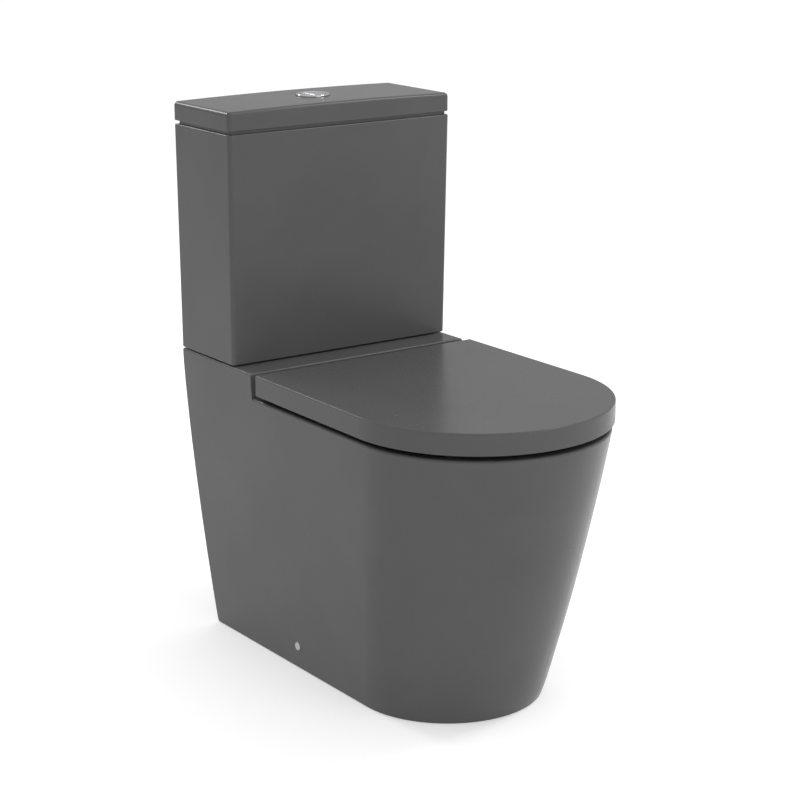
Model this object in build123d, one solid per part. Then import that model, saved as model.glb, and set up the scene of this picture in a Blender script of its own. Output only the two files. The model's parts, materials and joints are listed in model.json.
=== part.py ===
from build123d import *
import math
import os

# Close coupled, back-to-wall toilet.
# Units: mm.  +Z up, front of the pan toward -Y, wall plane at +Y.
# Origin: floor level, centre of the overall footprint.
# Depths called d below are measured forward from the wall plane.

os.makedirs("parts", exist_ok=True)

# ---------------------------------------------------------------- dimensions
WALL = 326.6               # wall plane, behind the origin
# pan outer sections: height, half width, depth of the front arc's centre
PAN = [(0.0, 135.1, 401.3), (59.2, 144.1, 413.2), (118.4, 152.2, 423.9),
       (177.6, 159.7, 434.0), (236.8, 166.6, 443.2), (296.0, 172.9, 452.4),
       (355.2, 178.3, 461.5), (400.4, 181.7, 468.3), (440.0, 183.3, 473.4)]
RIM_Z = 400.4              # top of the rim
SHELF_Z = 435.8            # top of the rear shelf that carries the cistern
SHELF_D = 188.7            # front face of the shelf
WALL_T = 12.0              # shroud wall
RIM_T = 12.4               # rim slab
SHELF_T = 14.8             # shelf slab
RIM_R = 3.0                # rounding of the rim's outer edge
# bowl inside: height, half width, front length, rear length, centre depth
BOWL = [(404.0, 138.0, 186.0, 156.0, 425.0), (380.0, 135.0, 182.0, 153.0, 425.0),
        (330.0, 122.0, 165.0, 138.0, 424.0), (270.0, 96.0, 128.0, 108.0, 416.0),
        (210.0, 64.0, 84.0, 74.0, 402.0), (165.0, 45.0, 52.0, 50.0, 392.0),
        (130.0, 38.0, 38.0, 38.0, 388.0)]
BOWL_T = 11.0
TRAP_R = 38.0              # waterway radius
TRAP_PTS = [(388, 130), (340, 130), (288, 250), (214, 250), (150, 183), (30, 183)]
TRAP_BEND = 55.0
SPIGOT_R = 51.0            # outlet spigot, outside
SPIGOT_L = 60.0
OUTLET_Z = 183.0
# cistern
TANK_Z0, TANK_Z1 = 437.8, 763.8
TANK_HW0, TANK_HW1 = 183.4, 186.3
TANK_D0, TANK_D1 = 143.8, 150.4
TANK_T = 10.0
TANK_FLOOR = 14.0
# cistern lid
LID_Z0, LID_Z1, LID_CROWN = 768.6, 795.2, 2.3
LID_HW, LID_D = 186.5, 150.2
NECK_IN = 4.0
# hinge
HINGE_X, HINGE_D, HINGE_Z = 77.5, 216.0, 424.0
PIN_R, PIN_FIT = 3.5, 0.05
# seat cover
COV_HW0, COV_HW1, COV_DC, COV_D0 = 185.9, 187.3, 464.6, 204.5
COV_Z0, COV_Z1, COV_T = 408.2, 437.9, 4.5
# seat ring
RING_IN = 5.5
RING_D0, RING_Z0, RING_Z1 = 234.0, 404.6, 427.0
HOLE_HW, HOLE_L, HOLE_DC = 112.0, 142.0, 440.0
# push button
BTN_D = 73.0
BTN_SPLIT = -4.0
BTN_TRAVEL = 6.0
# flush valve
FV_D = 70.0
LEVER_D, LEVER_Z = 85.0, 690.0
# fill valve
IN_X, IN_D = -125.0, 70.0
# coupling bolts
CB_X, CB_D = 78.0, 70.0
# side fixings
FIX_D, FIX_Z = 234.6, 37.0


def Y(d):
    return WALL - d


def box(x0, x1, d0, d1, z0, z1):
    return Pos((x0 + x1) / 2, (Y(d0) + Y(d1)) / 2, (z0 + z1) / 2) * Box(x1 - x0, abs(d1 - d0), z1 - z0)


def cyl(x, d, z0, z1, r):
    return Pos(x, Y(d), (z0 + z1) / 2) * Cylinder(r, z1 - z0)


def tube(x, d, z0, z1, ro, ri):
    return cyl(x, d, z0, z1, ro) - cyl(x, d, z0 - 1, z1 + 1, ri)


def cyl_x(x0, x1, d, z, r):
    return Pos((x0 + x1) / 2, Y(d), z) * Rot(0, 90, 0) * Cylinder(r, abs(x1 - x0))


def cyl_y(d0, d1, x, z, r):
    return Pos(x, (Y(d0) + Y(d1)) / 2, z) * Rot(90, 0, 0) * Cylinder(r, abs(d1 - d0))


def solid(shape):
    s = shape.solids()
    return s[0] if len(s) == 1 else Compound(s)


def group(*shapes):
    out = []
    for s in shapes:
        out += list(s.solids())
    return Compound(out)


def save(shape, node):
    shape = solid(shape) if not isinstance(shape, Compound) else shape
    export_step(shape, "parts/%s.step" % node)


def d_wire(hw, dc, z, d_rear, hw_rear=None):
    hr = hw if hw_rear is None else hw_rear
    a, b = (-hr, Y(d_rear), z), (-hw, Y(dc), z)
    c, e = (hw, Y(dc), z), (hr, Y(d_rear), z)
    m = (0, Y(dc) - hw, z)
    return Wire([Edge.make_line(a, b), Edge.make_three_point_arc(b, m, c),
                 Edge.make_line(c, e), Edge.make_line(e, a)])


def d_prism(hw, dc, z0, z1, d_rear, hw_rear=None):
    f = Face(d_wire(hw, dc, z0, d_rear, hw_rear))
    return Solid.extrude(f, Vector(0, 0, z1 - z0))


def egg_wire(a, bf, br, dc, z):
    """front half ellipse (toward -Y) and rear half ellipse, joined at the widest line"""
    pl = Plane(origin=(0, Y(dc), z))
    front = Edge.make_ellipse(a, bf, plane=pl, start_angle=180, end_angle=360) if a >= bf else \
        Edge.make_ellipse(bf, a, plane=Plane(origin=(0, Y(dc), z), x_dir=(0, 1, 0), z_dir=(0, 0, 1)),
                          start_angle=90, end_angle=270)
    rear = Edge.make_ellipse(a, br, plane=pl, start_angle=0, end_angle=180) if a >= br else \
        Edge.make_ellipse(br, a, plane=Plane(origin=(0, Y(dc), z), x_dir=(0, 1, 0), z_dir=(0, 0, 1)),
                          start_angle=270, end_angle=450)
    return Wire([front, rear])


def edges_at(shape, test):
    return ShapeList([e for e in shape.edges() if test(e)])


def mirror_x(shape):
    return mirror(shape, about=Plane.YZ)


# ---------------------------------------------------------------- pan
def pan_section(z):
    lo, hi = PAN[0], PAN[1]
    for a, b in zip(PAN[:-1], PAN[1:]):
        if a[0] <= z:
            lo, hi = a, b
    t = (z - lo[0]) / (hi[0] - lo[0])
    return lo[1] + (hi[1] - lo[1]) * t, lo[2] + (hi[2] - lo[2]) * t


outer = Solid.make_loft([d_wire(hw, dc, z, -10.0) for z, hw, dc in PAN])
outer = Part(outer.wrapped) if not isinstance(outer, Part) else outer
outer -= box(-400, 400, -60, 0, -10, 900)                    # wall plane
outer -= box(-400, 400, -60, 900, SHELF_Z, 900)              # shelf top
outer -= box(-400, 400, SHELF_D, 900, RIM_Z, 900)            # rim plane in front of the shelf

zt = lambda e: e.center().Z
rim_edges = edges_at(outer, lambda e: abs(e.bounding_box().min.Z - RIM_Z) < 0.05 and
                     abs(e.bounding_box().max.Z - RIM_Z) < 0.05 and
                     not (abs(e.bounding_box().min.Y - Y(SHELF_D)) < 0.05 and
                          abs(e.bounding_box().max.Y - Y(SHELF_D)) < 0.05))
outer = fillet(rim_edges, RIM_R)
step_edges = edges_at(outer, lambda e: e.bounding_box().min.Z > SHELF_Z - 0.05 and
                      e.bounding_box().min.Y < Y(1.0))
outer = fillet(step_edges, 2.6)
base_edges = edges_at(outer, lambda e: e.bounding_box().max.Z < 0.05 and e.bounding_box().min.Y < Y(1.0))
outer = fillet(base_edges, 2.0)

inner_levels = [(-6.0,) + tuple(pan_section(-6.0))] + [p for p in PAN[1:-1]] + [(SHELF_Z - SHELF_T,) + tuple(pan_section(SHELF_Z - SHELF_T))]
cavity = Part(Solid.make_loft([d_wire(hw - WALL_T, dc, z, -30.0) for z, hw, dc in inner_levels]).wrapped)
cavity -= box(-400, 400, SHELF_D - WALL_T, 900, RIM_Z - RIM_T, 900)

bowl_out = Part(Solid.make_loft([egg_wire(a + BOWL_T, bf + BOWL_T, br + BOWL_T, dc, min(z, RIM_Z - 4.0)) for z, a, bf, br, dc in BOWL]).wrapped)
bowl_in = Part(Solid.make_loft([egg_wire(a, bf, br, dc, z) for z, a, bf, br, dc in BOWL]).wrapped)
elbow_out = Pos(0, Y(388), 130) * Sphere(TRAP_R + BOWL_T)
elbow_in = Pos(0, Y(388), 130) * Sphere(TRAP_R)
path = FilletPolyline(*[(0, Y(d), z) for d, z in TRAP_PTS], radius=TRAP_BEND)


def along(r):
    return sweep(Plane(origin=path @ 0, z_dir=path % 0) * Circle(r), path=path)


trap_out = along(TRAP_R + BOWL_T)
trap_in = along(TRAP_R)
trap_in += cyl_y(20, 60, 0, OUTLET_Z, TRAP_R)
spigot = cyl_y(30, 30 + SPIGOT_L, 0, OUTLET_Z, SPIGOT_R)

duct_out = box(-58, 58, 12, SHELF_D - 4, 340, SHELF_Z - 6) + box(-58, 58, SHELF_D - 8, 282, 340, RIM_Z - 6)
duct_in = box(-40, 40, 36, 300, 352, 386)

pan = outer - cavity
pan += bowl_out
pan += elbow_out
pan += trap_out
pan += spigot
pan += duct_out
pan -= bowl_in
pan -= elbow_in
pan -= trap_in
pan -= duct_in
pan -= cyl(0, FV_D, 406.0, 460, 46.0)                        # seat of the coupling gasket
pan -= cyl(0, FV_D, 380.0, 420, 32.0)                        # flush inlet
for s in (-1, 1):
    pan -= cyl(s * CB_X, CB_D, 400, 460, 5.5)                # cistern bolt holes
    pan -= cyl(s * 125.0, IN_D, 400, 460, 24.0)              # water inlet access
    pan -= cyl(s * HINGE_X, HINGE_D, 370, 420, 7.0)          # hinge holes
    pan -= cyl_x(s * 100, s * 160, FIX_D, FIX_Z, 3.5)        # side fixing holes
    pan -= cyl_x(s * 134, s * 160, FIX_D, FIX_Z, 6.8)
lip = edges_at(pan, lambda e: abs(e.bounding_box().min.Z - RIM_Z) < 0.05 and
               abs(e.bounding_box().max.Z - RIM_Z) < 0.05 and
               e.bounding_box().size.X > 200 and e.bounding_box().min.Y > Y(620) and
               e.bounding_box().max.Y < Y(262))
pan = fillet(lip, 5.0)
save(pan, "pan")

# ---------------------------------------------------------------- cistern body


def rect_loft(z0, hw0, d0, z1, hw1, d1, rear=0.0):
    def w(hw, d, z):
        return Wire.make_polygon([(-hw, Y(rear), z), (-hw, Y(d), z), (hw, Y(d), z), (hw, Y(rear), z)], close=True)
    return Part(Solid.make_loft([w(hw0, d0, z0), w(hw1, d1, z1)], ruled=True).wrapped)


def vertical(shape, test=lambda e: True):
    return edges_at(shape, lambda e: e.bounding_box().size.Z > 15 and test(e))


tank = rect_loft(TANK_Z0, TANK_HW0, TANK_D0, TANK_Z1, TANK_HW1, TANK_D1, rear=-6.0)
tank -= box(-400, 400, -60, 0, 400, 900)                       # flat back against the wall
tank = fillet(vertical(tank, lambda e: e.center().Y < Y(70)), 5.8)
tank = fillet(vertical(tank, lambda e: e.center().Y > Y(1)), 1.0)
tank = fillet(edges_at(tank, lambda e: e.bounding_box().max.Z < TANK_Z0 + 0.05 and e.bounding_box().min.Y < Y(3)), 1.6)
tank = fillet(edges_at(tank, lambda e: e.bounding_box().min.Z > TANK_Z1 - 0.05 and e.bounding_box().min.Y < Y(3)), 2.0)
t_in = rect_loft(TANK_Z0 + TANK_FLOOR, TANK_HW0 - TANK_T + 0.1, TANK_D0 - TANK_T + 0.3,
                 TANK_Z1 + 8, TANK_HW1 - TANK_T, TANK_D1 - TANK_T, rear=TANK_T)
t_in = fillet(vertical(t_in), 9.0)
tank -= t_in
tank -= cyl(0, FV_D, 430, 470, 31.0)
for s in (-1, 1):
    tank -= cyl(s * CB_X, CB_D, 430, 470, 5.5)
    tank -= cyl(s * 125.0, IN_D, 430, 470, 11.2)
save(tank, "cistern_body")
save(group(*[box(s * 150 - 12, s * 150 + 12, d - 10, d + 10, SHELF_Z, TANK_Z0) for s in (-1, 1) for d in (25, 118)]), "cistern_pads")

# ---------------------------------------------------------------- cistern lid
prof = Wire([Edge.make_line((-LID_HW, 0, LID_Z0), (LID_HW, 0, LID_Z0)),
             Edge.make_line((LID_HW, 0, LID_Z0), (LID_HW, 0, LID_Z1)),
             Edge.make_three_point_arc((LID_HW, 0, LID_Z1), (0, 0, LID_Z1 + LID_CROWN), (-LID_HW, 0, LID_Z1)),
             Edge.make_line((-LID_HW, 0, LID_Z1), (-LID_HW, 0, LID_Z0))])
lid = Pos(0, Y(LID_D), 0) * Part(Solid.extrude(Face(prof), Vector(0, LID_D, 0)).wrapped)
lid = fillet(vertical(lid, lambda e: e.center().Y < Y(70)), 6.6)
lid = fillet(edges_at(lid, lambda e: e.bounding_box().min.Z > LID_Z1 - 1.0 and e.bounding_box().min.Y < Y(1)), 6.0)
lid = fillet(edges_at(lid, lambda e: e.bounding_box().max.Z < LID_Z0 + 0.05 and e.bounding_box().min.Y < Y(1)), 1.2)
lid = fillet(edges_at(lid, lambda e: e.bounding_box().min.Y > Y(0.05)), 1.0)


def rect_prism(inset, z0, z1, r):
    b = box(-LID_HW + inset, LID_HW - inset, inset, LID_D - inset, z0, z1)
    return fillet(b.edges().filter_by(Axis.Z), r)


lid += rect_prism(NECK_IN, TANK_Z1 + 0.1, LID_Z0 + 3, 4.0)
lid += rect_prism(11.5, 756.0, LID_Z0 + 3, 8.0)
lid -= rect_prism(19.0, 750.0, 785.0, 6.0)
lid_top = LID_Z1 + LID_CROWN
lid -= cyl(0, BTN_D, lid_top - 0.5, lid_top + 5, 24.9)
lid -= cyl(0, BTN_D, 780, 800, 20.6)
save(lid, "cistern_lid")

# ---------------------------------------------------------------- push button set
b0 = lid_top - 0.5
bez = [(19.0, b0), (24.2, b0), (24.2, b0 + 1.3), (23.4, b0 + 2.9), (21.4, b0 + 3.6), (19.9, b0 + 3.3), (19.0, b0 + 2.6)]
bez_face = Face(Wire([Edge.make_line((bez[0][0], 0, bez[0][1]), (bez[1][0], 0, bez[1][1])),
                      Edge.make_line((bez[1][0], 0, bez[1][1]), (bez[2][0], 0, bez[2][1])),
                      Edge.make_three_point_arc((bez[2][0], 0, bez[2][1]), (bez[3][0], 0, bez[3][1]), (bez[4][0], 0, bez[4][1])),
                      Edge.make_three_point_arc((bez[4][0], 0, bez[4][1]), (bez[5][0], 0, bez[5][1]), (bez[6][0], 0, bez[6][1])),
                      Edge.make_line((bez[6][0], 0, bez[6][1]), (bez[0][0], 0, bez[0][1]))]))
bezel = revolve(bez_face, axis=Axis.Z)
save(Pos(0, Y(BTN_D), 0) * bezel, "button_bezel")

bush = tube(0, BTN_D, 770.0, b0, 19.9, 18.6) + cyl(0, BTN_D, 768.0, 771.0, 19.9)
STEM_X = 12.5
for s in (-1, 1):
    bush -= cyl(s * STEM_X, BTN_D, 760, 775, 2.5)
save(bush, "button_bush")
save(tube(0, BTN_D, 779.0, 785.0, 27.0, 19.9), "button_ring_nut")


def d_disc(r, z0, z1, x0, x1):
    return cyl(0, BTN_D, z0, z1, r) & box(x0, x1, BTN_D - 40, BTN_D + 40, z0 - 1, z1 + 1)


gap = 0.35
for node, x0, x1, s in (("full_flush_button", BTN_SPLIT + gap, 30, 1), ("half_flush_button", -30, BTN_SPLIT - gap, -1)):
    top = d_disc(18.3, b0 - 1.0, b0 + 2.6, x0, x1)
    top = fillet(edges_at(top, lambda e: e.bounding_box().min.Z > b0 + 2.5), 0.9)
    top += d_disc(17.4, b0 - 6.0, b0 - 0.5, x0 + (0.6 if s > 0 else 0), x1 - (0.6 if s < 0 else 0))
    top += cyl(s * STEM_X, BTN_D, 764.0, b0 - 5.0, 2.2)
    save(top, node)
for node, s in (("full_button_spring", 1), ("half_button_spring", -1)):
    save(tube(s * STEM_X, BTN_D, 771.1, b0 - 6.1, 4.2, 3.2), node)
ROD_Z = LEVER_Z + 3.5
for node, s in (("full_push_rod", 1), ("half_push_rod", -1)):
    r = cyl(s * STEM_X, BTN_D, ROD_Z, 764.0, 2.0) + cyl(s * STEM_X, BTN_D, 752.0, 764.0, 3.4)
    save(r, node)

# ---------------------------------------------------------------- flush valve
z0 = TANK_Z0 + TANK_FLOOR
valve = tube(0, FV_D, 404.0, z0 + 4, 28.8, 24.0)
valve += tube(0, FV_D, z0 + 3, z0 + 9, 38.0, 24.0)
for a in (45, 135, 225, 315):
    valve += Pos(34.0 * math.cos(math.radians(a)), Y(FV_D) + 34.0 * math.sin(math.radians(a)), z0 + 38) * Rot(0, 0, a) * Box(5, 6, 62)
valve += tube(0, FV_D, z0 + 66, 640.0, 36.0, 33.0)
valve += tube(0, FV_D, 638.0, 643.0, 36.0, 12.6)
for x0, x1 in ((17.0, 20.5), (-20.5, -17.0)):
    valve += box(x0, x1, LEVER_D - 5, LEVER_D + 5, 641.0, LEVER_Z + 5)
valve += box(-17.5, -8.5, 99.0, 113.5, 600.0, 610.0)
valve -= cyl(-STEM_X, LEVER_D + 24, 590, 620, 2.6)
valve -= cyl_x(-30, 30, LEVER_D, LEVER_Z, 2.0)
save(valve, "flush_valve_body")
save(cyl_x(-20.5, 20.5, LEVER_D, LEVER_Z, 2.0), "lift_lever_axle")
save(tube(0, FV_D, z0, z0 + 3, 38.0, 29.0), "flush_valve_washer")
nut = extrude(Pos(0, Y(FV_D), 424.6) * RegularPolygon(41.0, 8), 437.4 - 424.6)
save(nut - cyl(0, FV_D, 420, 440, 28.8), "flush_valve_backnut")
save(tube(0, FV_D, 406.0, 424.4, 44.0, 29.2), "coupling_gasket")

ot = tube(0, FV_D, z0 + 13.5, 662.0, 12.0, 10.4)
ot += tube(0, FV_D, z0 + 13.5, z0 + 18.5, 25.0, 10.4)
ot += tube(0, FV_D, 648.0, 654.0, 15.0, 10.4)
ot += box(4.5, 15.5, 82.0, 116.0, 648.0, 652.0) - box(0, 40, LEVER_D - 7, LEVER_D + 7, 600, 700)
ot += box(4.5, 8.6, 76.0, 116.0, 648.0, 652.0)
ot += box(4.5, 8.0, 112.0, 116.0, 650.0, LEVER_Z + 9)
ot += box(4.5, 16.0, 105.5, 116.0, LEVER_Z + 3.6, LEVER_Z + 9)
save(ot, "overflow_tube")
save(tube(0, FV_D, z0 + 9.2, z0 + 13.4, 27.5, 12.0), "valve_seal")


def lever(s):
    x0, x1 = sorted((s * 9.6, s * 15.4))
    body = box(x0, x1, BTN_D, LEVER_D + 24, LEVER_Z - 2.6, LEVER_Z + 2.6)
    body += cyl_x(x0, x1, BTN_D, LEVER_Z, 3.0)
    body += cyl_x(x0, x1, LEVER_D + 24, LEVER_Z, 3.0)
    body += cyl_x(x0, x1, LEVER_D, LEVER_Z, 4.6)
    return body - cyl_x(-30, 30, LEVER_D, LEVER_Z, 2.05)


save(lever(1), "full_lift_lever")
save(lever(-1), "half_lift_lever")
half_rod = cyl(-STEM_X, LEVER_D + 24, 554.0, LEVER_Z + 12, 2.5) + cyl(-STEM_X, LEVER_D + 24, 554.0, 584.0, 4.2)
half_rod -= box(-20, -5, 100, 120, LEVER_Z - 16, LEVER_Z + 3.6)
half_rod += box(-17.5, -16.0, 106.5, 111.5, LEVER_Z - 20, LEVER_Z + 8)
half_rod += box(-17.5, -10.0, 106.5, 111.5, LEVER_Z - 20, LEVER_Z - 15.9)
half_rod += box(-17.5, -10.0, 106.5, 111.5, LEVER_Z + 3.6, LEVER_Z + 8)
save(half_rod, "half_flush_rod")

# ---------------------------------------------------------------- coupling hardware
bolts, bw, sw, wn = [], [], [], []
for s in (-1, 1):
    x = s * CB_X
    bolts.append(cyl(x, CB_D, 392.0, z0 + 4.5, 4.0) + cyl(x, CB_D, z0 + 4, z0 + 9, 9.0))
    bw.append(tube(x, CB_D, z0, z0 + 4, 14.0, 4.0))
    sw.append(tube(x, CB_D, SHELF_Z - SHELF_T - 2, SHELF_Z - SHELF_T, 12.0, 4.2))
    w = cyl(x, CB_D, 406.0, SHELF_Z - SHELF_T - 2, 8.0) + box(x - 17, x + 17, CB_D - 2, CB_D + 2, 403.0, 413.0)
    wn.append(w - cyl(x, CB_D, 400, 422, 4.0))
save(group(*bolts), "coupling_bolts")
save(group(*bw), "coupling_bolt_seals")
save(group(*sw), "coupling_bolt_washers")
save(group(*wn), "coupling_wing_nuts")

# ---------------------------------------------------------------- fill valve
fb = cyl(IN_X, IN_D, 396.0, z0 + 3, 10.4) + cyl(IN_X, IN_D, z0 + 2, z0 + 7, 17.0)
fb += cyl(IN_X, IN_D, z0 + 6, 692.0, 12.0) + cyl(IN_X, IN_D, 690.0, 712.0, 18.0)
fb += cyl_y(IN_D + 10, IN_D + 18.5, -135.0, 701.0, 5.5)
fb -= cyl(IN_X, IN_D, 380.0, 700.0, 4.5)
fb -= tube(IN_X, IN_D, 424.0, 426.0, 14.0, 9.4)                # thread run-out below the backnut
fb -= cyl_y(IN_D + 8, IN_D + 40, -135.0, 701.0, 2.0)
save(fb, "fill_valve_body")
cap = cyl(IN_X, IN_D, 712.0, 720.0, 16.0)
cap = fillet(edges_at(cap, lambda e: e.bounding_box().min.Z > 719.9), 3.0)
save(cap, "fill_valve_cap")
save(tube(IN_X, IN_D, z0, z0 + 2, 17.0, 10.4), "fill_valve_washer")
fn = extrude(Pos(IN_X, Y(IN_D), 426.0) * RegularPolygon(17.5, 6), 437.6 - 426.0)
save(fn - cyl(IN_X, IN_D, 420, 440, 10.4), "fill_valve_backnut")
plug = cyl(125.0, IN_D, 430.0, z0 + 1, 10.6) + cyl(125.0, IN_D, z0, z0 + 5, 16.0)
save(plug, "inlet_blanking_plug")
fl = cyl(IN_X, IN_D, 560.0, 618.0, 36.0)
fl = fillet(edges_at(fl, lambda e: True and e.bounding_box().size.Z < 1), 3.0)
fl -= cyl(IN_X, IN_D, 550.0, 630.0, 12.5)
fl -= tube(IN_X, IN_D, 550.0, 612.0, 33.0, 15.0)
save(fl, "float_cup")
save(cyl(-101.0, 92.0, 618.0, 697.5, 2.0), "float_link")
save(cyl_y(IN_D + 8, 96.0, -135.0, 701.0, 2.0), "float_arm_pin")
arm = box(-135.0, -101.0, 89.2, 95.0, 698.4, 703.6) + cyl_y(89.2, 95.0, -135.0, 701.0, 5.0) + cyl_y(89.2, 95.0, -101.0, 701.0, 3.0)
save(arm - cyl_y(80, 100, -135.0, 701.0, 2.05), "float_arm")

# ---------------------------------------------------------------- seat hinge hardware
plates, pillars, pins, hb, hw_, hn = [], [], [], [], [], []
for s in (-1, 1):
    x = s * HINGE_X
    p = cyl(x, HINGE_D, RIM_Z, RIM_Z + 3, 20.0)
    p = fillet(edges_at(p, lambda e: e.bounding_box().min.Z > RIM_Z + 2.9), 1.2)
    plates.append(p - cyl(x, HINGE_D, RIM_Z - 1, RIM_Z + 5, 4.0))
    h = box(x - 7.3, x + 7.3, HINGE_D - 7, HINGE_D + 7, RIM_Z + 3, HINGE_Z) + cyl_x(x - 7.3, x + 7.3, HINGE_D, HINGE_Z, 8.5)
    h -= cyl_x(x - 20, x + 20, HINGE_D, HINGE_Z, PIN_R)
    pillars.append(h - cyl(x, HINGE_D, RIM_Z + 2, RIM_Z + 12, 4.0))
    pins.append(cyl_x(s * 44.0, s * 117.0, HINGE_D, HINGE_Z, PIN_R))
    hb.append(cyl(x, HINGE_D, 358.0, RIM_Z + 12, 4.0))
    hw_.append(tube(x, HINGE_D, 383.0, RIM_Z - RIM_T, 14.0, 4.2))
    n = cyl(x, HINGE_D, 368.0, 383.0, 9.0) + box(x - 16, x + 16, HINGE_D - 2.2, HINGE_D + 2.2, 366.0, 377.0)
    hn.append(n - cyl(x, HINGE_D, 360, 390, 4.0))
save(group(*plates), "hinge_base_plates")
save(group(*pillars), "hinge_pillars")
save(group(*pins), "hinge_pins")
save(group(*hb), "hinge_studs")
save(group(*hw_), "hinge_washers")
save(group(*hn), "hinge_wing_nuts")

# ---------------------------------------------------------------- seat cover
cov = Part(d_prism(COV_HW1, COV_DC, COV_Z0, COV_Z1, COV_D0, COV_HW0).wrapped)
cov = fillet(edges_at(cov, lambda e: e.bounding_box().size.Z > 20 and e.center().Y > Y(COV_D0 + 1)), 3.0)
cov = fillet(edges_at(cov, lambda e: e.bounding_box().min.Z > COV_Z1 - 0.05), 2.2)
cov = fillet(edges_at(cov, lambda e: e.bounding_box().max.Z < COV_Z0 + 0.05), 1.2)
cav = Part(d_prism(COV_HW1 - COV_T, COV_DC, COV_Z0 - 5, COV_Z1 - COV_T, COV_D0 + 4.0, COV_HW0 - COV_T).wrapped)
cov -= cav
cov -= box(-119.0, 119.0, COV_D0 - 5, COV_D0 + 8, COV_Z0 - 5, COV_Z1 - COV_T)
cov += box(-38.0, 38.0, COV_D0, COV_D0 + 4.0, 416.0, COV_Z1 - 1.5)
cov -= box(-300, 300, COV_D0 - 1, COV_D0 + 8, COV_Z0 - 5, COV_Z0 + 0.0)
for s in (-1, 1):
    cov += cyl_x(s * 101.0, s * 116.0, HINGE_D, HINGE_Z, 8.5)
    cov += box(min(s * 101, s * 116), max(s * 101, s * 116), HINGE_D - 7, HINGE_D + 7, HINGE_Z + 2, COV_Z1 - 2)
cov += cyl_x(44.5, 68.5, HINGE_D, HINGE_Z, 8.8)
cov += box(44.5, 68.5, HINGE_D - 5, HINGE_D + 6, HINGE_Z + 4, COV_Z1 - 2)
cov -= cyl_x(44.0, 67.0, HINGE_D, HINGE_Z, 6.8)
cov -= cyl_x(-130.0, 130.0, HINGE_D, HINGE_Z, PIN_R + PIN_FIT)
save(cov, "seat_cover")
save(cyl_x(44.5, 66.9, HINGE_D, HINGE_Z, 6.8) - cyl_x(40, 80, HINGE_D, HINGE_Z, PIN_R + PIN_FIT), "cover_damper")
cbuf = []
for s in (-1, 1):
    for x, d in ((150.0, 330.0), (118.0, 560.0)):
        b = box(s * x - 9, s * x + 9, d - 5, d + 5, RING_Z1 + 0.3, COV_Z1 - COV_T)
        cbuf.append(fillet(b.edges().filter_by(Axis.Z), 3.0))
save(group(*cbuf), "cover_buffers")

# ---------------------------------------------------------------- seat ring
ring = Part(d_prism(COV_HW1 - RING_IN, COV_DC, RING_Z0, RING_Z1, RING_D0, COV_HW0 - RING_IN + 0.1).wrapped)
ring = fillet(edges_at(ring, lambda e: e.bounding_box().size.Z > 20 and e.center().Y > Y(RING_D0 + 1)), 14.0)
ring = chamfer(edges_at(ring, lambda e: e.bounding_box().max.Z < RING_Z0 + 0.05), 5.0)
ring = fillet(edges_at(ring, lambda e: e.bounding_box().min.Z > RING_Z1 - 0.05), 3.0)
hole = Solid.extrude(Face(Wire([Edge.make_ellipse(HOLE_L, HOLE_HW, plane=Plane(origin=(0, Y(HOLE_DC), 395), x_dir=(0, 1, 0), z_dir=(0, 0, 1)))])), Vector(0, 0, 50))
ring -= Part(hole.wrapped)
ring = fillet(edges_at(ring, lambda e: abs(e.bounding_box().size.X - 2 * HOLE_HW) < 1.0 and
                       e.bounding_box().size.Z < 1), 5.0)
chan = Part(d_prism(COV_HW1 - RING_IN - 12, COV_DC, RING_Z0 - 5, RING_Z1 - 6, RING_D0 + 12, COV_HW0 - RING_IN - 12).wrapped)
keep = Solid.extrude(Face(Wire([Edge.make_ellipse(HOLE_L + 12, HOLE_HW + 12, plane=Plane(origin=(0, Y(HOLE_DC), 390), x_dir=(0, 1, 0), z_dir=(0, 0, 1)))])), Vector(0, 0, 60))
chan -= Part(keep.wrapped)
RBUF = ((150.0, 330.0), (112.0, 566.0))
for s in (-1, 1):
    for x, d in RBUF:
        chan -= box(s * x - 16, s * x + 16, d - 11, d + 11, 390, 440)
ring -= chan
for s in (-1, 1):
    ring += cyl_x(s * 86.0, s * 99.8, HINGE_D, HINGE_Z, 8.5)
    ring += box(min(s * 86, s * 99.8), max(s * 86, s * 99.8), HINGE_D, RING_D0 + 14, 415.6, 426.0)
ring += cyl_x(-68.5, -44.5, HINGE_D, HINGE_Z, 8.8)
ring += box(-68.5, -44.5, HINGE_D, RING_D0 + 14, 415.6, 426.0)
ring -= cyl_x(-67.0, -44.0, HINGE_D, HINGE_Z, 6.8)
ring -= cyl_x(-130.0, 130.0, HINGE_D, HINGE_Z, PIN_R + PIN_FIT)
save(ring, "seat_ring")
save(cyl_x(-66.9, -44.5, HINGE_D, HINGE_Z, 6.8) - cyl_x(-80, -40, HINGE_D, HINGE_Z, PIN_R + PIN_FIT), "ring_damper")
rb = []
for s in (-1, 1):
    for x, d in RBUF:
        b = box(s * x - 13, s * x + 13, d - 7, d + 7, RIM_Z + 0.3, RING_Z0)
        rb.append(fillet(b.edges().filter_by(Axis.Z), 5.0))
save(group(*rb), "ring_buffers")

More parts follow.
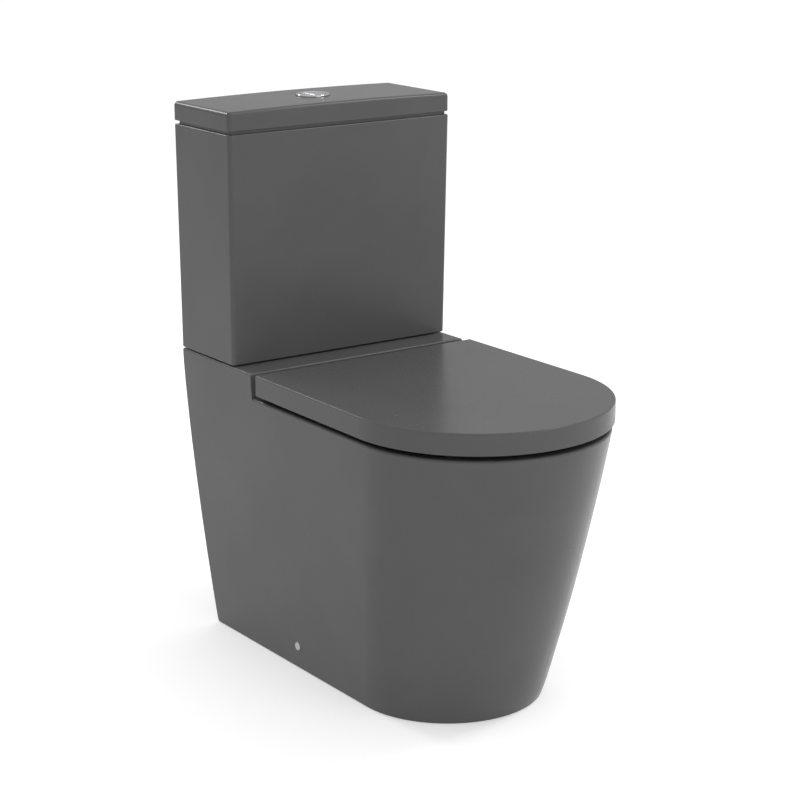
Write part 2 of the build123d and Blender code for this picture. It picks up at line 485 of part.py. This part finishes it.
# ---------------------------------------------------------------- floor fixing
br, ss, sc = [], [], []
for s in (-1, 1):
    def bx(x0, x1, *a):
        return box(min(s * x0, s * x1), max(s * x0, s * x1), *a)
    b = bx(80, 120, FIX_D - 20, FIX_D + 20, 0, 6) + bx(112, 120, FIX_D - 12, FIX_D + 12, 5, 54)
    b -= cyl(s * 96, FIX_D, -1, 8, 4.0)
    b -= cyl_x(s * 100, s * 130, FIX_D, FIX_Z, 3.0)
    br.append(b)
    ss.append(cyl_x(s * 106, s * 136, FIX_D, FIX_Z, 3.0) + cyl_x(s * 134, s * 137.4, FIX_D, FIX_Z, 5.2))
    c = cyl_x(s * 137.4, s * 142.2, FIX_D, FIX_Z, 6.3)
    c = fillet(edges_at(c, lambda e: e.bounding_box().size.X < 0.1 and abs(e.center().X) > 142.0), 1.3)
    sc.append(c)
save(group(*br), "floor_brackets")
save(group(*ss), "side_screws")
save(group(*sc), "side_screw_caps")
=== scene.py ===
import json
import math

import bmesh
import bpy
from mathutils import Matrix, Vector


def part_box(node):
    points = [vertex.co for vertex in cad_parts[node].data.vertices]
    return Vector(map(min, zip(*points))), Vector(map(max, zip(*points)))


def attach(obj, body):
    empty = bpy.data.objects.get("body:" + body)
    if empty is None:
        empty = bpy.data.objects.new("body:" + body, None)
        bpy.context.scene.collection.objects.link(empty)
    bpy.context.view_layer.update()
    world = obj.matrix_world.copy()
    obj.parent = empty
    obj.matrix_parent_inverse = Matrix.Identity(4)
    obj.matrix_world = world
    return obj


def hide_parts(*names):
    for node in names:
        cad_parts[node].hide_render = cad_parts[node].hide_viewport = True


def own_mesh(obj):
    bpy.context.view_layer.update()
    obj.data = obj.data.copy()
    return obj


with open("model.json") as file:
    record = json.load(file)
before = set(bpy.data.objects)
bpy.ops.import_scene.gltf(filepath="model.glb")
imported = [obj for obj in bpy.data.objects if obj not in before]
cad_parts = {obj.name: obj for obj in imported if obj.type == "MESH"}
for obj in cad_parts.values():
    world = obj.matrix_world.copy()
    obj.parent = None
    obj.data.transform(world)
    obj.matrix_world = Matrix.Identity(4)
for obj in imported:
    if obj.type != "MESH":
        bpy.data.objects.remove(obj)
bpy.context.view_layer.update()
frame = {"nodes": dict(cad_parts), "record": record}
NODES = frame["nodes"]
scene = bpy.context.scene
MM = 0.001
WALL = 326.6                      # wall plane in the row frame, mm


def Y(d):
    return (WALL - d) * MM


# ------------------------------------------------------------------ camera
def look(az, el, roll):
    a, e, r = math.radians(az), math.radians(el), math.radians(roll)
    back = Vector((math.sin(a) * math.cos(e), -math.cos(a) * math.cos(e), math.sin(e)))
    right = (-back).cross(Vector((0, 0, 1))).normalized()
    up = right.cross(-back)
    r2 = right * math.cos(r) + up * math.sin(r)
    u2 = -right * math.sin(r) + up * math.cos(r)
    return Matrix((r2, u2, back)).transposed()


cam_data = bpy.data.cameras.new("camera")
cam_data.lens = 97.70
cam_data.sensor_width = 36.0
cam_data.sensor_fit = "HORIZONTAL"
cam_data.clip_start = 0.05
cam_data.clip_end = 60.0
cam = bpy.data.objects.new("camera", cam_data)
scene.collection.objects.link(cam)
cam.matrix_world = Matrix.Translation((-1.68873, -2.37355, 1.19455)) @ look(-35.013, 15.249, -0.109).to_4x4()
scene.camera = cam
scene.view_settings.view_transform = "Standard"
scene.view_settings.look = "None"


# ------------------------------------------------------------------ node materials
class Tree:
    def __init__(self, name):
        self.mat = bpy.data.materials.new(name)
        self.mat.use_nodes = True
        self.nt = self.mat.node_tree
        self.nt.nodes.clear()
        self.out = self.nt.nodes.new("ShaderNodeOutputMaterial")
        self.bsdf = self.nt.nodes.new("ShaderNodeBsdfPrincipled")
        self.nt.links.new(self.bsdf.outputs[0], self.out.inputs[0])
        self.co = self.nt.nodes.new("ShaderNodeTexCoord").outputs["Object"]

    def node(self, kind, **props):
        n = self.nt.nodes.new(kind)
        for k, v in props.items():
            setattr(n, k, v)
        return n

    def link(self, a, b):
        self.nt.links.new(a, b)

    def stretch(self, sx, sy, sz):
        m = self.node("ShaderNodeMapping")
        m.inputs["Scale"].default_value = (sx, sy, sz)
        self.link(self.co, m.inputs["Vector"])
        return m.outputs[0]

    def noise(self, scale, detail=3.0, rough=0.5, vec=None):
        n = self.node("ShaderNodeTexNoise")
        n.inputs["Scale"].default_value = scale
        n.inputs["Detail"].default_value = detail
        n.inputs["Roughness"].default_value = rough
        self.link(vec or self.co, n.inputs["Vector"])
        return n.outputs["Fac"]

    def ramp(self, fac, stops):
        r = self.node("ShaderNodeValToRGB")
        el = r.color_ramp.elements
        while len(el) < len(stops):
            el.new(0.5)
        for e, (p, c) in zip(el, stops):
            e.position = p
            e.color = tuple(c) + (1.0,) if len(c) == 3 else c
        self.link(fac, r.inputs[0])
        return r.outputs[0]

    def rng(self, fac, lo, hi, a=0.25, b=0.75):
        m = self.node("ShaderNodeMapRange")
        m.inputs["From Min"].default_value = a
        m.inputs["From Max"].default_value = b
        m.inputs["To Min"].default_value = lo
        m.inputs["To Max"].default_value = hi
        self.link(fac, m.inputs["Value"])
        return m.outputs[0]

    def bump(self, height, distance, strength=1.0, normal=None):
        b = self.node("ShaderNodeBump")
        b.inputs["Strength"].default_value = strength
        b.inputs["Distance"].default_value = distance
        self.link(height, b.inputs["Height"])
        if normal is not None:
            self.link(normal, b.inputs["Normal"])
        return b.outputs[0]

    def set(self, **kw):
        for k, v in kw.items():
            self.bsdf.inputs[k.replace("_", " ")].default_value = v


def tint(c, k):
    return tuple(max(0.0, min(1.0, x * k)) for x in c)


def glaze(name, base, spread=0.05):
    """matte glazed vitreous china: satin glaze with a soft orange peel, fine grain and rare darker pinholes"""
    t = Tree(name)
    cloud = t.noise(9.0, 4.0, 0.55)
    grain = t.noise(1400.0, 2.0, 0.6)
    c1 = t.ramp(cloud, [(0.30, tint(base, 1 - spread)), (0.70, tint(base, 1 + spread))])
    c2 = t.ramp(grain, [(0.25, (0.90, 0.90, 0.90)), (0.75, (1.10, 1.10, 1.10))])
    mul = t.node("ShaderNodeMix", data_type="RGBA", blend_type="MULTIPLY")
    mul.inputs[0].default_value = 1.0
    t.link(c1, mul.inputs[6])
    t.link(c2, mul.inputs[7])
    vor = t.node("ShaderNodeTexVoronoi")
    vor.inputs["Scale"].default_value = 150.0
    t.link(t.co, vor.inputs["Vector"])
    speck = t.ramp(vor.outputs["Distance"], [(0.03, (0.72, 0.72, 0.72)), (0.06, (1.0, 1.0, 1.0))])
    mul2 = t.node("ShaderNodeMix", data_type="RGBA", blend_type="MULTIPLY")
    mul2.inputs[0].default_value = 1.0
    t.link(mul.outputs[2], mul2.inputs[6])
    t.link(speck, mul2.inputs[7])
    t.link(mul2.outputs[2], t.bsdf.inputs["Base Color"])
    t.link(t.rng(t.noise(60.0, 4.0, 0.6), 0.235, 0.275), t.bsdf.inputs["Roughness"])
    n1 = t.bump(t.noise(170.0, 2.0, 0.5), 0.00010, 0.35)
    n2 = t.bump(t.noise(1800.0, 2.0, 0.6), 0.00002, 0.45, n1)
    t.link(n2, t.bsdf.inputs["Normal"])
    t.set(IOR=1.5, Specular_IOR_Level=0.14)
    return t.mat


def plastic(name, base, rough=0.4, grain=900.0, depth=0.00002, spread=0.04, spec=0.5, wear=0.05):
    """moulded plastic: fine eroded texture, slight flow clouds"""
    t = Tree(name)
    cloud = t.noise(14.0, 3.0, 0.5)
    t.link(t.ramp(cloud, [(0.3, tint(base, 1 - spread)), (0.7, tint(base, 1 + spread))]), t.bsdf.inputs["Base Color"])
    t.link(t.rng(t.noise(120.0, 3.0, 0.6), rough - wear, rough + wear), t.bsdf.inputs["Roughness"])
    n1 = t.bump(t.noise(grain, 2.0, 0.6), depth, 0.5)
    t.link(n1, t.bsdf.inputs["Normal"])
    t.set(IOR=1.5, Specular_IOR_Level=spec)
    return t.mat


def metal(name, base, rough, brushed=False):
    """polished or brushed metal"""
    t = Tree(name)
    t.set(Metallic=1.0)
    cloud = t.noise(60.0, 3.0, 0.5)
    t.link(t.ramp(cloud, [(0.3, tint(base, 0.95)), (0.7, tint(base, 1.04))]), t.bsdf.inputs["Base Color"])
    vec = t.stretch(1.0, 1.0, 18.0) if brushed else t.co
    t.link(t.rng(t.noise(420.0, 4.0, 0.6, vec), rough * 0.75, rough * 1.3), t.bsdf.inputs["Roughness"])
    t.link(t.bump(t.noise(900.0, 3.0, 0.6, vec), 0.00002 if brushed else 0.000004, 0.5), t.bsdf.inputs["Normal"])
    return t.mat


def rubber(name, base, rough=0.75, foam=False):
    t = Tree(name)
    t.link(t.ramp(t.noise(40.0, 4.0, 0.6), [(0.3, tint(base, 0.85)), (0.7, tint(base, 1.2))]), t.bsdf.inputs["Base Color"])
    t.link(t.rng(t.noise(300.0, 3.0, 0.6), rough - 0.08, rough + 0.08), t.bsdf.inputs["Roughness"])
    if foam:
        v = t.node("ShaderNodeTexVoronoi")
        v.inputs["Scale"].default_value = 900.0
        t.link(t.co, v.inputs["Vector"])
        t.link(t.bump(v.outputs["Distance"], 0.0004, 0.8), t.bsdf.inputs["Normal"])
    else:
        t.link(t.bump(t.noise(1200.0, 2.0, 0.6), 0.00004, 0.5), t.bsdf.inputs["Normal"])
    return t.mat


MATS = {
    "glazed_body": glaze("matte_glaze", (0.085, 0.085, 0.0865)),
    "seat_shell": plastic("seat_thermoset", (0.085, 0.085, 0.0865), 0.26, 1500.0, 0.000008, 0.02, 0.14, 0.02),
    "bright_metal": metal("chrome_plate", (0.46, 0.46, 0.475), 0.13),
    "steel": metal("stainless", (0.60, 0.60, 0.61), 0.30, True),
    "spring_steel": metal("spring_wire", (0.52, 0.52, 0.54), 0.26, True),
    "black_rubber": rubber("black_rubber", (0.022, 0.022, 0.023)),
    "foam_rubber": rubber("foam_rubber", (0.05, 0.05, 0.052), 0.9, True),
    "grey_bumper": rubber("grey_bumper", (0.20, 0.20, 0.21), 0.65),
    "white_plastic": plastic("white_plastic", (0.80, 0.80, 0.78), 0.38),
    "grey_plastic": plastic("grey_plastic", (0.33, 0.34, 0.35), 0.42),
    "blue_plastic": plastic("blue_plastic", (0.06, 0.20, 0.46), 0.36),
    "black_plastic": plastic("black_plastic", (0.03, 0.03, 0.032), 0.45),
    "red_seal": rubber("silicone_seal", (0.42, 0.05, 0.035), 0.5),
    "nylon": plastic("natural_nylon", (0.68, 0.66, 0.60), 0.5, 600.0, 0.00004),
}
SLOT = {s["node"]: s["material_slot"] for s in frame["record"]["subparts"]}
for name, ob in NODES.items():
    ob.data.materials.clear()
    ob.data.materials.append(MATS[SLOT[name]])

# ------------------------------------------------------------------ springs under the buttons
def coil(name, x, d, z0, z1, r, wire, turns, mat, node):
    """a closed-end compression spring: the first and last turn lie flat"""
    n, m = int(turns * 40), 10
    verts, faces = [], []
    low, high = z0 + wire, z1 - wire
    for i in range(n + 1):
        k = i / n * turns
        f = min(1.0, max(0.0, (k - 1.0) / (turns - 2.0)))
        z = low + (high - low) * f * 0.88 + (high - low) * 0.06 * (min(k, 1.0) + max(0.0, k - turns + 1.0))
        a = 2.0 * math.pi * k
        for j in range(m):
            b = 2.0 * math.pi * j / m
            rr = r + wire * math.cos(b)
            verts.append(((x + rr * math.cos(a)) * MM, Y(d) + rr * math.sin(a) * MM, (z + wire * math.sin(b)) * MM))
        if i:
            for j in range(m):
                p, q = (i - 1) * m + j, (i - 1) * m + (j + 1) % m
                faces.append((p, q, q + m, p + m))
    faces.append(tuple(range(m)))
    faces.append(tuple(reversed(range(n * m, n * m + m))))
    me = bpy.data.meshes.new(name)
    me.from_pydata(verts, [], faces)
    bm = bmesh.new()
    bm.from_mesh(me)
    bmesh.ops.recalc_face_normals(bm, faces=bm.faces)
    bm.to_mesh(me)
    bm.free()
    me.polygons.foreach_set("use_smooth", [True] * len(me.polygons))
    me.materials.append(mat)
    o = bpy.data.objects.new(name, me)
    scene.collection.objects.link(o)
    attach(o, "cistern_lid")
    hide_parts(node)
    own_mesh(o)
    return o


for tag, sx in (("full", 12.5), ("half", -12.5)):
    lo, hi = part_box(tag + "_button_spring")
    coil(tag + "_spring_coil", sx, 73.0, lo[2] / MM, hi[2] / MM, 3.7, 0.45, 7.0,
         MATS["spring_steel"], tag + "_button_spring")

# ------------------------------------------------------------------ stage
ft = Tree("pale_floor")
ft.link(ft.ramp(ft.noise(3.0, 3.0, 0.5), [(0.3, (0.80, 0.80, 0.80)), (0.7, (0.82, 0.82, 0.82))]),
        ft.bsdf.inputs["Base Color"])
ft.set(Roughness=0.95, Specular_IOR_Level=0.0, Emission_Color=(1.0, 1.0, 1.0, 1.0), Emission_Strength=0.30)
bm = bmesh.new()
bmesh.ops.create_grid(bm, x_segments=4, y_segments=4, size=90.0)
me = bpy.data.meshes.new("floor")
bm.to_mesh(me)
bm.free()
floor = bpy.data.objects.new("floor", me)
scene.collection.objects.link(floor)
floor.location.z = -0.0004
me.materials.append(ft.mat)

world = bpy.data.worlds.new("studio")
scene.world = world
world.use_nodes = True
world.node_tree.nodes["Background"].inputs[0].default_value = (1.0, 1.0, 1.0, 1.0)
wt = world.node_tree
wco = wt.nodes.new("ShaderNodeTexCoord")
wsep = wt.nodes.new("ShaderNodeSeparateXYZ")
wmap = wt.nodes.new("ShaderNodeMapRange")
wt.links.new(wco.outputs["Generated"], wsep.inputs[0])
wt.links.new(wsep.outputs["Z"], wmap.inputs["Value"])
wmap.inputs["From Min"].default_value = 0.0
wmap.inputs["From Max"].default_value = 1.0
wmap.inputs["To Min"].default_value = 0.45
wmap.inputs["To Max"].default_value = 1.10
wt.links.new(wmap.outputs[0], wt.nodes["Background"].inputs[1])


def softbox(name, direction, dist, size, radiance, size_y=None):
    """a rectangular studio light that shows the given radiance, seen from the object along direction"""
    d = Vector(direction).normalized()
    loc = Vector((0.0, 0.0, 0.42)) + d * dist
    sy = size_y or size
    l = bpy.data.lights.new(name, "AREA")
    l.shape = "RECTANGLE"
    l.size = size
    l.size_y = sy
    l.energy = radiance * math.pi * size * sy
    o = bpy.data.objects.new(name, l)
    scene.collection.objects.link(o)
    o.matrix_world = Matrix.Translation(loc) @ (-d).to_track_quat("-Z", "Y").to_matrix().to_4x4()
    return o


softbox("key", (0.55, -0.25, 0.80), 3.0, 0.60, 22.0)
softbox("rim", (-0.24, 0.80, 0.54), 3.2, 0.60, 18.0)
softbox("fill", (0.18, -0.92, 0.34), 3.6, 2.4, 1.4)
